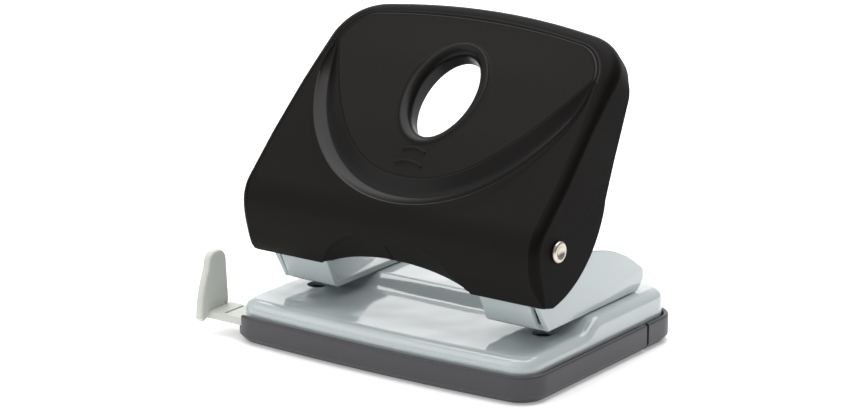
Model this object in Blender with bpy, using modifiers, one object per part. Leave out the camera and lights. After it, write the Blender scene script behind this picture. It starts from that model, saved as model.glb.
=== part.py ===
"""Two-hole desk punch: pressed steel base, sprung punch pins and a hood-shaped lever.

Blender 4.5, metres, +Z up. The origin is the middle of the underside, the paper goes in from
the front (-Y) and the two holes lie along X. Run it with: blender --background --python part.py
"""

import math

import bmesh
import bpy
from mathutils import Matrix, Vector

MM = 0.001
GAP = 0.3 * MM  # clear space between neighbours that touch on the real punch
SEAM = 0.02 * MM  # step between joined faces, too small to see

# Standard filing holes: 80 mm apart, 6 mm wide, centred 12 mm from the paper's edge
HOLE_SPACING = 80 * MM
PIN_RADIUS = 2.9 * MM
GUIDE_HOLE_RADIUS = PIN_RADIUS + GAP
PIN_X = HOLE_SPACING / 2
PIN_Y = -12.3 * MM

# Plastic cover under the base
TRAY_HALF_WIDTH = 53.2 * MM
TRAY_HALF_DEPTH = 40.6 * MM
FRONT_BOW = 1.5 * MM  # how far the front edge swells out at its middle
TRAY_CORNER = 9 * MM
TRAY_WALL = 1.5 * MM
TRAY_HEIGHT = 8.2 * MM
TRAY_CHAMFER = 1.9 * MM
HINGE_Y = 22.85 * MM

# Pressed base plate
SHEET = 1.2 * MM
PLATE_INSET = 2.0 * MM  # from the tray's outline
SKIRT_BOTTOM = 7.5 * MM
TABLE_TOP = 12.5 * MM
DECK_TOP = 15.8 * MM
RAMP_START = -6.0 * MM
RAMP_END = -0.5 * MM
PLATE_ROUNDING = 2.2 * MM

# Pin brackets, folded from thicker sheet
BRACKET_SHEET = 1.8 * MM
BRACKET_INNER_X = 26.6 * MM
BRACKET_OUTER_X = 46.6 * MM
BRACKET_BOTTOM = DECK_TOP + GAP
BRACKET_FRONT_Y = -21.2 * MM
BRACKET_REAR_Y = 27.5 * MM
FRONT_LEAN = math.radians(26)
RELIEF_SLIT = 1.2 * MM
TAB_TOP = 32.2 * MM
EAR_RADIUS = 5.4 * MM

# Lever pivot and the involute press cam. The base circle touches the pins' line, so the pins
# move CAM_RADIUS metres for each radian that the lever turns.
PIVOT_Y = -23.3 * MM
PIVOT_Z = 41.3 * MM
CAM_RADIUS = PIN_Y - PIVOT_Y
CAM_HEIGHT = -1.0 * MM  # of the pins' heads over the pivot when the lever is up
LEVER_TRAVEL = math.radians(33)
RIVET_RADIUS = 2.4 * MM

# Lever hood, in its own section: u runs up its face from the pivot, n out of the face
FACE_ANGLE = math.radians(43.5)
LEVER_HALF_WIDTH = 51.6 * MM
LEVER_WALL = 2.1 * MM
NOSE_RADIUS = 10.9 * MM  # the face is tangent to this round about the pivot
NOSE_END = math.radians(188)
FREE_END_U = 69.3 * MM
FREE_END_N = 1.5 * MM
LEVER_ROUNDING = 2.6 * MM
THUMB_HOLE_U = 36.9 * MM
THUMB_HOLE_HALF = (9.6 * MM, 14.2 * MM)
THUMB_RIM_HALF = (12.4 * MM, 17.3 * MM)

# Paper guide
GUIDE_FENCE_X = -61.5 * MM
GUIDE_INNER_END = 44 * MM
GUIDE_FRONT_Y = -37.4 * MM
GUIDE_REAR_Y = -26.2 * MM
GUIDE_BOTTOM = 4.5 * MM
GUIDE_TOP = 6.8 * MM

COLOURS = {
    "grey_paint": ((0.55, 0.60, 0.61), 0.25, 0.0),
    "dark_plastic": ((0.08, 0.075, 0.085), 0.45, 0.0),
    "black_plastic": ((0.02, 0.018, 0.017), 0.45, 0.0),
    "light_plastic": ((0.56, 0.57, 0.53), 0.5, 0.0),
    "nickel": ((0.70, 0.66, 0.60), 0.25, 1.0),
    "steel": ((0.50, 0.50, 0.50), 0.35, 1.0),
}


# --- scene and objects -------------------------------------------------------------------

def clear_scene():
    for obj in list(bpy.data.objects):
        bpy.data.objects.remove(obj, do_unlink=True)


def make_collection(name):
    collection = bpy.data.collections.new(name)
    bpy.context.scene.collection.children.link(collection)
    return collection


def make_material(name, finish):
    colour, roughness, metallic = COLOURS[finish]
    material = bpy.data.materials.new(name)
    material.use_nodes = True
    shader = material.node_tree.nodes["Principled BSDF"]
    shader.inputs["Base Color"].default_value = (*colour, 1.0)
    shader.inputs["Roughness"].default_value = roughness
    shader.inputs["Metallic"].default_value = metallic
    return material


def finish_part(obj, name, finish):
    """Names a part, gives it its own material and files it with the punch's parts."""
    obj.name = name
    obj.data.name = name
    obj.data.materials.clear()
    obj.data.materials.append(make_material(name, finish))
    obj.data.shade_smooth()
    obj.data.set_sharp_from_angle(angle=math.radians(35))
    parts.objects.link(obj)
    return obj


def as_cutter(obj):
    obj.hide_render = True
    obj.display_type = "WIRE"
    cutters.objects.link(obj)
    return obj


def add_boolean(obj, other, operation="DIFFERENCE"):
    modifier = obj.modifiers.new(operation.lower(), "BOOLEAN")
    modifier.operation = operation
    modifier.object = other
    return modifier


def add_bevel(obj, width, segments=2, angle=40):
    modifier = obj.modifiers.new("bevel", "BEVEL")
    modifier.width = width
    modifier.segments = segments
    modifier.limit_method = "ANGLE"
    modifier.angle_limit = math.radians(angle)
    return modifier


def place_at(obj, point):
    """Moves an object's origin to a point and leaves its shape where it is."""
    obj.data.transform(Matrix.Translation(-Vector(point)))
    obj.location = point


# --- outlines ----------------------------------------------------------------------------

def arc(centre, radius, start, end, steps):
    """Points along a circle from one angle to another."""
    turn = (end - start) / steps
    return [
        (centre[0] + radius * math.cos(start + turn * i), centre[1] + radius * math.sin(start + turn * i))
        for i in range(steps + 1)
    ]


def arc_through(first, middle, last, steps):
    """Points along the circle through three points, from the first to the last."""
    (ax, ay), (bx, by), (cx, cy) = first, middle, last
    span = 2 * (ax * (by - cy) + bx * (cy - ay) + cx * (ay - by))
    a, b, c = ax * ax + ay * ay, bx * bx + by * by, cx * cx + cy * cy
    x = (a * (by - cy) + b * (cy - ay) + c * (ay - by)) / span
    y = (a * (cx - bx) + b * (ax - cx) + c * (bx - ax)) / span
    start, via, end = (math.atan2(py - y, px - x) for px, py in (first, middle, last))
    full = 2 * math.pi
    if (via - start) % full < (end - start) % full:
        sweep = (end - start) % full
    else:
        sweep = (end - start) % full - full
    return arc((x, y), math.hypot(ax - x, ay - y), start, start + sweep, steps)


def rounded(corners, steps=4):
    """An outline from (x, y, radius) corners, each radius replaced by an arc."""
    points = []
    count = len(corners)
    for i, (x, y, radius) in enumerate(corners):
        here = Vector((x, y))
        if radius == 0:
            points.append((x, y))
            continue
        back = (Vector(corners[i - 1][:2]) - here).normalized()
        ahead = (Vector(corners[(i + 1) % count][:2]) - here).normalized()
        half = back.angle(ahead) / 2
        reach = radius / math.tan(half)
        centre = here + (back + ahead).normalized() * radius / math.sin(half)
        first = here + back * reach - centre
        last = here + ahead * reach - centre
        start = math.atan2(first.y, first.x)
        sweep = math.atan2(last.y, last.x) - start
        sweep = (sweep + math.pi) % (2 * math.pi) - math.pi
        points += arc(centre, radius, start, start + sweep, steps)
    return points


def ellipse(half_x, half_y, steps=32):
    return [
        (half_x * math.cos(2 * math.pi * i / steps), half_y * math.sin(2 * math.pi * i / steps))
        for i in range(steps)
    ]


# --- solids ------------------------------------------------------------------------------

# Outlines are drawn in a curve's own XY and stand in one of these planes, thick along the third
FLAT = Matrix.Identity(4)
SIDE = Matrix(((0, 0, 1, 0), (1, 0, 0, 0), (0, 1, 0, 0), (0, 0, 0, 1)))  # (x, y) -> (Y, Z)
FRONT = Matrix(((1, 0, 0, 0), (0, 0, -1, 0), (0, 1, 0, 0), (0, 0, 0, 1)))  # (x, y) -> (X, Z)


def outline_solid(points, thickness, plane, centre):
    """A flat outline made a solid, its mid-plane through centre, with welded caps."""
    curve = bpy.data.curves.new("outline", "CURVE")
    curve.dimensions = "2D"
    curve.fill_mode = "BOTH"
    curve.extrude = thickness / 2
    spline = curve.splines.new("POLY")
    spline.points.add(len(points) - 1)
    for point, (x, y) in zip(spline.points, points):
        point.co = (x, y, 0, 1)
    spline.use_cyclic_u = True
    drawn = bpy.data.objects.new("outline", curve)
    drawn.matrix_world = Matrix.Translation(centre) @ plane
    return mesh_of(drawn)


def mesh_of(drawn):
    """The mesh of a curve object, welded and facing out, in the curve's place."""
    bpy.context.scene.collection.objects.link(drawn)
    bpy.context.view_layer.update()
    graph = bpy.context.evaluated_depsgraph_get()
    mesh = bpy.data.meshes.new_from_object(drawn.evaluated_get(graph))
    shape = bmesh.new()
    shape.from_mesh(mesh)
    bmesh.ops.remove_doubles(shape, verts=shape.verts, dist=0.001 * MM)
    bmesh.ops.transform(shape, matrix=drawn.matrix_world, verts=shape.verts)
    bmesh.ops.recalc_face_normals(shape, faces=shape.faces)
    shape.to_mesh(mesh)
    shape.free()
    bpy.data.objects.remove(drawn, do_unlink=True)
    return bpy.data.objects.new("solid", mesh)


def box(low, high):
    shape = bmesh.new()
    bmesh.ops.create_cube(shape, size=1.0)
    size = [h - l for l, h in zip(low, high)]
    middle = [(h + l) / 2 for l, h in zip(low, high)]
    bmesh.ops.scale(shape, vec=size, verts=shape.verts)
    bmesh.ops.translate(shape, vec=middle, verts=shape.verts)
    mesh = bpy.data.meshes.new("box")
    shape.to_mesh(mesh)
    shape.free()
    return bpy.data.objects.new("box", mesh)


def cylinder(radius, bottom, top, segments=24):
    """A round solid between the middles of its two ends."""
    shape = bmesh.new()
    axis = Vector(top) - Vector(bottom)
    turn = Vector((0, 0, 1)).rotation_difference(axis).to_matrix().to_4x4()
    place = Matrix.Translation((Vector(bottom) + Vector(top)) / 2) @ turn
    bmesh.ops.create_cone(
        shape, cap_ends=True, segments=segments, radius1=radius, radius2=radius,
        depth=axis.length, matrix=place,
    )
    mesh = bpy.data.meshes.new("cylinder")
    shape.to_mesh(mesh)
    shape.free()
    return bpy.data.objects.new("cylinder", mesh)


def turned(profile, steps=24):
    """A profile of (radius, height) points from top to bottom, turned about local Z."""
    mesh = bpy.data.meshes.new("turned")
    points = [(radius, 0, height) for radius, height in profile]
    mesh.from_pydata(points, [(i, i + 1) for i in range(len(points) - 1)], [])
    obj = bpy.data.objects.new("turned", mesh)
    screw = obj.modifiers.new("turn", "SCREW")
    screw.steps = steps
    screw.render_steps = steps
    screw.use_merge_vertices = True
    screw.merge_threshold = 0.002 * MM
    return obj


# --- plastic cover and base plate --------------------------------------------------------

def plan_outline(inset):
    """The punch's plan: straight sides, rounded corners and a gently bowed front."""
    half_width = TRAY_HALF_WIDTH - inset
    front = -TRAY_HALF_DEPTH + FRONT_BOW + inset
    rear = TRAY_HALF_DEPTH - inset
    corner = TRAY_CORNER - inset
    tip = TRAY_HALF_WIDTH - TRAY_CORNER
    bow = arc_through((-tip, front), (0, front - FRONT_BOW), (tip, front), 10)
    right = arc((tip, front + corner), corner, -math.pi / 2, 0, 6)
    rear_right = arc((half_width - corner, rear - corner), corner, 0, math.pi / 2, 6)
    rear_left = arc((corner - half_width, rear - corner), corner, math.pi / 2, math.pi, 6)
    left = arc((-tip, front + corner), corner, math.pi, 1.5 * math.pi, 6)
    return bow + right[1:] + rear_right + rear_left + left[:-1]


def plan_solid(inset, bottom, top):
    centre = (0, 0, (bottom + top) / 2)
    return outline_solid(plan_outline(inset), top - bottom, FLAT, centre)


def cover_shell():
    """The open-topped plastic cover with its chamfered lower edge."""
    shell = plan_solid(0, 0, TRAY_HEIGHT)
    shape = bmesh.new()
    shape.from_mesh(shell.data)
    rim = [e for e in shape.edges if all(v.co.z < GAP for v in e.verts) and not e.is_wire]
    outer = [e for e in rim if any(abs(f.normal.z) < 0.5 for f in e.link_faces)]
    bmesh.ops.bevel(shape, geom=outer, offset=TRAY_CHAMFER, segments=1, affect="EDGES")
    shape.to_mesh(shell.data)
    shape.free()
    floor = 1.4 * MM
    hollow = as_cutter(plan_solid(TRAY_WALL, floor, TRAY_HEIGHT + 5 * MM))
    add_bevel(hollow, TRAY_CHAMFER - 0.5 * MM, segments=1, angle=60)
    add_boolean(shell, hollow)
    return shell


def build_cover():
    slit = 0.25 * MM
    reach = 100 * MM
    tray = cover_shell()
    front_half = as_cutter(box((-reach, -reach, -reach), (reach, HINGE_Y - slit, reach)))
    add_boolean(tray, front_half, "INTERSECT")
    arm_notch = as_cutter(box(
        (-reach, GUIDE_FRONT_Y - GAP, GUIDE_BOTTOM - GAP),
        (-TRAY_HALF_WIDTH + 15 * MM, GUIDE_REAR_Y + GAP, reach),
    ))
    corner_keep = as_cutter(box(
        (-reach, -reach, GUIDE_BOTTOM - GAP),
        (-TRAY_HALF_WIDTH + TRAY_CORNER, GUIDE_REAR_Y + GAP, reach),
    ))
    add_boolean(arm_notch, corner_keep, "INTERSECT")
    add_boolean(tray, arm_notch)
    finish_part(tray, "chip_tray", "dark_plastic")
    place_at(tray, (0, HINGE_Y, 0))
    band = cover_shell()
    rear_half = as_cutter(box((-reach, HINGE_Y + slit, -reach), (reach, reach, reach)))
    add_boolean(band, rear_half, "INTERSECT")
    finish_part(band, "tray_rear_band", "dark_plastic")


def plate_block(inset, lowered):
    """The base plate's outer form, or with an inset its hollow: table, ramp and raised deck."""
    block = plan_solid(PLATE_INSET + inset, SKIRT_BOTTOM - 4 * MM - inset, DECK_TOP + 4 * MM)
    table, deck = TABLE_TOP - lowered, DECK_TOP - lowered
    reach, ease = 70 * MM, 4 * MM
    above = rounded([
        (-reach, table, 0),
        (RAMP_START, table, ease),
        (RAMP_END, deck, ease),
        (reach, deck, 0),
        (reach, reach, 0),
        (-reach, reach, 0),
    ], 3)
    cutter = as_cutter(outline_solid(above, 2 * reach, SIDE, (0, 0, 0)))
    add_boolean(block, cutter)
    add_bevel(block, PLATE_ROUNDING - inset / 2, segments=3, angle=50)
    return block


def build_base_plate():
    plate = plate_block(0, 0)
    hollow = as_cutter(plate_block(SHEET, SHEET))
    add_boolean(plate, hollow)
    skirt_trim = as_cutter(box((-0.1, -0.1, -0.1), (0.1, 0.1, SKIRT_BOTTOM)))
    add_boolean(plate, skirt_trim)
    for x in (-PIN_X, PIN_X):
        bottom, top = (x, PIN_Y, TABLE_TOP - 5 * MM), (x, PIN_Y, TABLE_TOP + 5 * MM)
        add_boolean(plate, as_cutter(cylinder(GUIDE_HOLE_RADIUS, bottom, top)))
    for x, y in rivet_places():
        bottom, top = (x, y, DECK_TOP - 5 * MM), (x, y, DECK_TOP + 5 * MM)
        add_boolean(plate, as_cutter(cylinder(1.8 * MM + GAP, bottom, top, 16)))
    finish_part(plate, "base_plate", "grey_paint")


def build_die_plates():
    thickness = 2 * MM
    top = TABLE_TOP - SHEET - GAP
    for side, x in (("left", -PIN_X), ("right", PIN_X)):
        profile = [(8 * MM, 0), (8 * MM, -thickness), (GUIDE_HOLE_RADIUS, -thickness)]
        profile += [(GUIDE_HOLE_RADIUS, 0), (8 * MM, 0)]
        die = turned(profile)
        die.location = (x, PIN_Y, top)
        finish_part(die, f"die_plate_{side}", "steel")


# --- brackets ----------------------------------------------------------------------------

def rivet_places():
    """Where the four rivets hold the brackets to the deck."""
    return [(side * 36 * MM, y) for side in (-1, 1) for y in (8 * MM, 21 * MM)]


def bracket_section():
    """The folded strip seen from the side: floor, leaning front wall and top tab."""
    sheet = BRACKET_SHEET
    lean = math.tan(FRONT_LEAN)
    rise = TAB_TOP - BRACKET_BOTTOM
    top_y = BRACKET_FRONT_Y - lean * rise
    step = sheet / math.cos(FRONT_LEAN)
    tab_rear = PIN_Y + 5.5 * MM
    bend = 1.2 * MM
    return rounded([
        (BRACKET_REAR_Y, BRACKET_BOTTOM, 0),
        (BRACKET_FRONT_Y, BRACKET_BOTTOM, bend + sheet),
        (top_y, TAB_TOP, bend + sheet),
        (tab_rear, TAB_TOP, 0),
        (tab_rear, TAB_TOP - sheet, 0),
        (top_y + step + lean * sheet, TAB_TOP - sheet, bend),
        (BRACKET_FRONT_Y + step - lean * sheet, BRACKET_BOTTOM + sheet, bend),
        (BRACKET_REAR_Y, BRACKET_BOTTOM + sheet, 0),
    ], 3)


def bracket_cheek():
    """The side wall's outline: pivot ear, long sloping top and rounded rear corner."""
    front_foot = BRACKET_FRONT_Y + 1.5 * MM
    shoulder = 33.2 * MM
    ear_front = PIVOT_Y - EAR_RADIUS
    ear = arc((PIVOT_Y, PIVOT_Z), EAR_RADIUS, 0, math.pi, 10)
    top = arc_through((27.5 * MM, 24.2 * MM), (16 * MM, 30.6 * MM), (0, 34.4 * MM), 6)
    rear = rounded([
        (front_foot, BRACKET_BOTTOM, 0),
        (27.5 * MM, BRACKET_BOTTOM, 3 * MM),
        (30.6 * MM, 19 * MM, 1.5 * MM),
        (30.6 * MM, 22.2 * MM, 2 * MM),
        (27.5 * MM, 24.2 * MM, 0),
    ])
    riser = [(PIN_Y + 7 * MM, shoulder), (PIVOT_Y + EAR_RADIUS, shoulder)]
    lean = [(ear_front, 31 * MM)]
    return rear + top[1:] + riser + ear + lean


def build_bracket(side, sign):
    sheet = BRACKET_SHEET
    strip_outer = BRACKET_OUTER_X - sheet - RELIEF_SLIT
    strip_middle = sign * (strip_outer + BRACKET_INNER_X) / 2
    strip_width = strip_outer - BRACKET_INNER_X
    bracket = outline_solid(bracket_section(), strip_width, SIDE, (strip_middle, 0, 0))
    # the floor beside the slit is a hair thinner, so that no two joined faces coincide
    near, far = sorted((sign * (strip_outer - sheet), sign * (BRACKET_OUTER_X - sheet / 2)))
    side_floor = box(
        (near, BRACKET_FRONT_Y + 1.6 * MM, BRACKET_BOTTOM + SEAM),
        (far, BRACKET_REAR_Y - SEAM, BRACKET_BOTTOM + sheet - SEAM),
    )
    add_boolean(bracket, as_cutter(side_floor), "UNION")
    cheek_middle = sign * (BRACKET_OUTER_X - sheet / 2)
    cheek = as_cutter(outline_solid(bracket_cheek(), sheet, SIDE, (cheek_middle, 0, 0)))
    add_boolean(bracket, cheek, "UNION")
    x = sign * PIN_X
    pin_hole = cylinder(GUIDE_HOLE_RADIUS, (x, PIN_Y, 10 * MM), (x, PIN_Y, 40 * MM))
    add_boolean(bracket, as_cutter(pin_hole))
    near, far = (sign * 30 * MM, PIVOT_Y, PIVOT_Z), (sign * 60 * MM, PIVOT_Y, PIVOT_Z)
    add_boolean(bracket, as_cutter(cylinder(RIVET_RADIUS + GAP, near, far)))
    for place_x, y in rivet_places():
        if place_x * sign > 0:
            hole = cylinder(1.8 * MM + GAP, (place_x, y, 10 * MM), (place_x, y, 30 * MM), 16)
            add_boolean(bracket, as_cutter(hole))
    finish_part(bracket, f"bracket_{side}", "grey_paint")


def build_bracket_rivets():
    shank, grip = 1.8 * MM, BRACKET_SHEET + SHEET + 3 * GAP
    top = BRACKET_BOTTOM + BRACKET_SHEET + GAP
    names = ("left_front", "left_rear", "right_front", "right_rear")
    for name, (x, y) in zip(names, rivet_places()):
        head = [(3.2 * MM * math.cos(a), 1.2 * MM * math.sin(a)) for a in (math.pi / 2, 1.0, 0.5, 0)]
        end = -grip - 0.8 * MM
        tail = [(shank, 0), (shank, -grip), (2.8 * MM, -grip), (2.6 * MM, end), (0, end)]
        rivet = turned([(max(r, 0), h) for r, h in head] + tail, 16)
        rivet.location = (x, y, top)
        finish_part(rivet, f"bracket_rivet_{name}", "nickel")


# --- punch pins and springs --------------------------------------------------------------

PIN_TOP = PIVOT_Z + CAM_HEIGHT - GAP
PIN_TIP = BRACKET_BOTTOM + 0.3 * MM
CLIP_TOP = TAB_TOP - BRACKET_SHEET - GAP
CLIP_THICKNESS = 0.8 * MM
SPRING_BOTTOM = BRACKET_BOTTOM + BRACKET_SHEET + GAP
SPRING_TOP = CLIP_TOP - CLIP_THICKNESS - GAP
WIRE_RADIUS = 0.4 * MM
SPRING_RADIUS = 3.75 * MM
SPRING_TURNS = 5


def build_pin(side, x):
    head, groove = 4.4 * MM, PIN_RADIUS - 0.9 * MM
    head_bottom = PIN_TOP - 1.2 * MM
    chamfer = 0.3 * MM
    profile = [
        (0, PIN_TOP), (head - chamfer, PIN_TOP), (head, PIN_TOP - chamfer), (head, head_bottom),
        (PIN_RADIUS, head_bottom), (PIN_RADIUS, CLIP_TOP + GAP), (groove, CLIP_TOP + GAP),
        (groove, CLIP_TOP - CLIP_THICKNESS - GAP), (PIN_RADIUS, CLIP_TOP - CLIP_THICKNESS - GAP),
        (PIN_RADIUS, PIN_TIP), (PIN_RADIUS - 0.5 * MM, PIN_TIP),
        (0, PIN_TIP + 1.2 * MM),
    ]
    pin = turned([(radius, height - PIN_TOP) for radius, height in profile])
    pin.location = (x, PIN_Y, PIN_TOP)
    finish_part(pin, f"punch_pin_{side}", "steel")


def build_spring_clip(side, x):
    """A retaining clip: a washer with a mouth at the rear that snaps into the pin's groove."""
    washer = cylinder(4.4 * MM, (x, PIN_Y, CLIP_TOP - CLIP_THICKNESS), (x, PIN_Y, CLIP_TOP))
    bore = cylinder(PIN_RADIUS - 0.6 * MM, (x, PIN_Y, CLIP_TOP - 2 * MM), (x, PIN_Y, CLIP_TOP + 2 * MM))
    add_boolean(washer, as_cutter(bore))
    mouth = box(
        (x - 1.6 * MM, PIN_Y, CLIP_TOP - 2 * MM), (x + 1.6 * MM, PIN_Y + 8 * MM, CLIP_TOP + 2 * MM)
    )
    add_boolean(washer, as_cutter(mouth))
    finish_part(washer, f"spring_clip_{side}", "steel")


def build_spring(side, x):
    """A coil whose first and last turns lie flat."""
    steps_per_turn = 14
    steps = steps_per_turn * SPRING_TURNS
    low, high = SPRING_BOTTOM + WIRE_RADIUS, SPRING_TOP - WIRE_RADIUS
    curve = bpy.data.curves.new("spring", "CURVE")
    curve.dimensions = "3D"
    curve.bevel_depth = WIRE_RADIUS
    curve.bevel_resolution = 2
    curve.use_fill_caps = True
    spline = curve.splines.new("POLY")
    spline.points.add(steps)
    lead = 1 / SPRING_TURNS * 0.8
    for i, point in enumerate(spline.points):
        share = i / steps
        angle = share * 2 * math.pi * SPRING_TURNS
        climb = min(max((share - lead / 2) / (1 - lead), 0), 1)
        # a flat end turn still climbs by its own wire, so that the coils stay apart
        height = low + (high - low) * (0.72 * climb + 0.28 * share)
        point.co = (x + SPRING_RADIUS * math.cos(angle), PIN_Y + SPRING_RADIUS * math.sin(angle), height, 1)
    drawn = bpy.data.objects.new("spring", curve)
    finish_part(mesh_of(drawn), f"punch_spring_{side}", "steel")


# --- lever -------------------------------------------------------------------------------

def face_point(u, n):
    """From the lever's own u and n to world Y and Z."""
    cos, sin = math.cos(FACE_ANGLE), math.sin(FACE_ANGLE)
    return (PIVOT_Y + u * cos - n * sin, PIVOT_Z + u * sin + n * cos)


def from_pivot(y, z):
    return (PIVOT_Y + y * MM, PIVOT_Z + z * MM)


def lever_section(wall):
    """The hood from the side; wall is 0 for its outside and its thickness for its hollow."""
    nose = NOSE_RADIUS - wall
    upper = math.pi / 2 + FACE_ANGLE
    nose_arc = arc((PIVOT_Y, PIVOT_Z), nose, NOSE_END, upper, 8)
    inward = wall / MM
    tip = from_pivot(-4.9 + 0.9 * inward, -15.9 + 0.3 * inward)
    chin = from_pivot(-9.0 + 0.95 * inward, -9.2 + 0.25 * inward)
    lower_front = [(y, z, 0) for y, z in arc_through(tip, chin, nose_arc[0], 6)[:-1]]
    front = lower_front + [(y, z, 0) for y, z in nose_arc]
    end_u, end_round = FREE_END_U - wall, 5 * MM - wall
    free_end = (*face_point(end_u, nose), end_round)
    if wall:
        far = face_point(end_u, -60 * MM)
        return rounded([(*from_pivot(2, -24), 0), *front, free_end, (*far, 0)])
    heel = arc_through(from_pivot(-2.5, -16), from_pivot(14.4, -8), from_pivot(24.7, 9.1), 10)
    return rounded([
        *front, free_end,
        (*face_point(end_u, FREE_END_N), 0),
        (*face_point(56.8 * MM, 0.9 * MM), 6 * MM),
        *[(y, z, 0) for y, z in reversed(heel)],
    ])


def lever_plan(wall):
    """The hood seen square to its face: slightly tapering sides, round corners, bowed end."""
    half = LEVER_HALF_WIDTH - wall
    shoulder = half - 2.3 * MM
    end_u = FREE_END_U - wall
    corner_u = end_u - 5.0 * MM
    low, taper_u = -40 * MM, 16 * MM
    corner = 16 * MM - wall
    bow_half = 33 * MM
    bow = arc_through((bow_half, end_u - 2.6 * MM), (0, end_u), (-bow_half, end_u - 2.6 * MM), 8)
    return rounded([
        (-half, low, 0), (half, low, 0), (half, taper_u, 0), (shoulder, corner_u, corner),
        *[(x, u, 0) for x, u in bow], (-shoulder, corner_u, corner), (-half, taper_u, 0),
    ], 6)


def face_plane():
    """Places an outline of (X, u) square to the lever's face, through the pivot."""
    y, z = face_point(0, 0)
    cos, sin = math.cos(FACE_ANGLE), math.sin(FACE_ANGLE)
    turn = Matrix(((1, 0, 0, 0), (0, cos, -sin, 0), (0, sin, cos, 0), (0, 0, 0, 1)))
    return turn, (0, y, z)


def lever_form(wall):
    width = 2 * LEVER_HALF_WIDTH + 4 * MM
    form = outline_solid(lever_section(wall), width, SIDE, (0, 0, 0))
    turn, centre = face_plane()
    plan = as_cutter(outline_solid(lever_plan(wall), 200 * MM, turn, centre))
    add_boolean(form, plan, "INTERSECT")
    return form


def thumb_hole_cutters():
    turn, centre = face_plane()
    place = Matrix.Translation(centre) @ turn @ Matrix.Translation((0, THUMB_HOLE_U, 0))
    through = outline_solid(ellipse(*THUMB_HOLE_HALF), 60 * MM, FLAT, (0, 0, 0))
    through.data.transform(place)
    chamfer_depth = 1.3 * MM
    shape = bmesh.new()
    bmesh.ops.create_cone(
        shape, cap_ends=True, segments=32, radius1=1.0, radius2=1.5, depth=1.0,
    )
    low, high = THUMB_HOLE_HALF, THUMB_RIM_HALF
    for vert in shape.verts:
        on_top = vert.co.z > 0
        ring = 1.5 if on_top else 1.0
        half = [h + (h - l) for l, h in zip(low, high)] if on_top else low
        vert.co.x *= half[0] / ring
        vert.co.y *= half[1] / ring
        vert.co.z = NOSE_RADIUS + (chamfer_depth if on_top else -chamfer_depth)
    mesh = bpy.data.meshes.new("chamfer")
    shape.to_mesh(mesh)
    shape.free()
    mesh.transform(place)
    return through, bpy.data.objects.new("chamfer", mesh)


def scallop_outline():
    """The arched cut in the lower front edge, with the middle mark pointing down."""
    edge, low = 23.5 * MM, PIVOT_Z - 15.4 * MM
    mark = PIVOT_Z - 13.6 * MM
    crown = PIVOT_Z - 12.0 * MM
    left = arc_through((-edge, low), (-12 * MM, crown), (-0.8 * MM, mark), 6)
    right = [(-x, z) for x, z in reversed(left)]
    return left + right + [(edge, low - 10 * MM), (-edge, low - 10 * MM)]


def build_lever_cover():
    cover = lever_form(0)
    add_bevel(cover, LEVER_ROUNDING, segments=3, angle=50)
    hollow = as_cutter(lever_form(LEVER_WALL))
    add_boolean(cover, hollow)
    rib_top = NOSE_RADIUS - 1.5 * MM
    for x in (-22 * MM, 22 * MM):
        rib = [face_point(2 * MM, rib_top), face_point(60 * MM, rib_top)]
        rib += [face_point(60 * MM, rib_top - 6 * MM), face_point(2 * MM, rib_top - 6 * MM)]
        add_boolean(cover, as_cutter(outline_solid(rib, 1.6 * MM, SIDE, (x, 0, 0))), "UNION")
    for cutter in thumb_hole_cutters():
        add_boolean(cover, as_cutter(cutter))
    scallop = outline_solid(scallop_outline(), 14 * MM, FRONT, (0, PIVOT_Y - 9 * MM, 0))
    add_boolean(cover, as_cutter(scallop))
    hole = cylinder(RIVET_RADIUS + GAP, (-80 * MM, PIVOT_Y, PIVOT_Z), (80 * MM, PIVOT_Y, PIVOT_Z))
    add_boolean(cover, as_cutter(hole))
    finish_part(cover, "lever_cover", "black_plastic")
    place_at(cover, (0, PIVOT_Y, PIVOT_Z))


FLANGE_INNER_X = BRACKET_OUTER_X + 4 * GAP
FLANGE_SHEET = 1.5 * MM


def cam_section():
    """The cross bar's section. Its working edge is the involute that keeps the pins' drive even."""
    edge = []
    steps = 8
    for i in range(steps + 1):
        angle = LEVER_TRAVEL * 1.04 * i / steps
        height = CAM_HEIGHT - CAM_RADIUS * angle
        y = CAM_RADIUS * math.cos(angle) - height * math.sin(angle)
        z = CAM_RADIUS * math.sin(angle) + height * math.cos(angle)
        edge.append((PIVOT_Y + y, PIVOT_Z + z))
    back = [(15, 2), (15, 7), (13.6, 8.5), (11.6, 8.5), (10.7, 7.5), (10.7, -0.5)]
    return edge + [from_pivot(y, z) for y, z in back]


def flange_outline():
    """The press frame's cheek: round at the pivot, with the cross bar behind it."""
    boss = 6.2 * MM
    lower = arc((PIVOT_Y, PIVOT_Z), boss, math.pi / 2 + FACE_ANGLE, math.radians(300), 10)
    return lower + rounded([
        (*from_pivot(16.2, 0), 2 * MM),
        (*from_pivot(16.6, 12), 3 * MM),
        (*face_point(14 * MM, boss), 3 * MM),
    ])


def build_press_frame():
    reach = FLANGE_INNER_X + FLANGE_SHEET
    frame = outline_solid(cam_section(), 2 * reach - MM, SIDE, (0, 0, 0))
    for sign in (-1, 1):
        middle = sign * (FLANGE_INNER_X + FLANGE_SHEET / 2)
        flange = as_cutter(outline_solid(flange_outline(), FLANGE_SHEET, SIDE, (middle, 0, 0)))
        add_boolean(frame, flange, "UNION")
    hole = cylinder(RIVET_RADIUS + GAP, (-80 * MM, PIVOT_Y, PIVOT_Z), (80 * MM, PIVOT_Y, PIVOT_Z))
    add_boolean(frame, as_cutter(hole))
    finish_part(frame, "press_frame", "steel")
    place_at(frame, (0, PIVOT_Y, PIVOT_Z))


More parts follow.
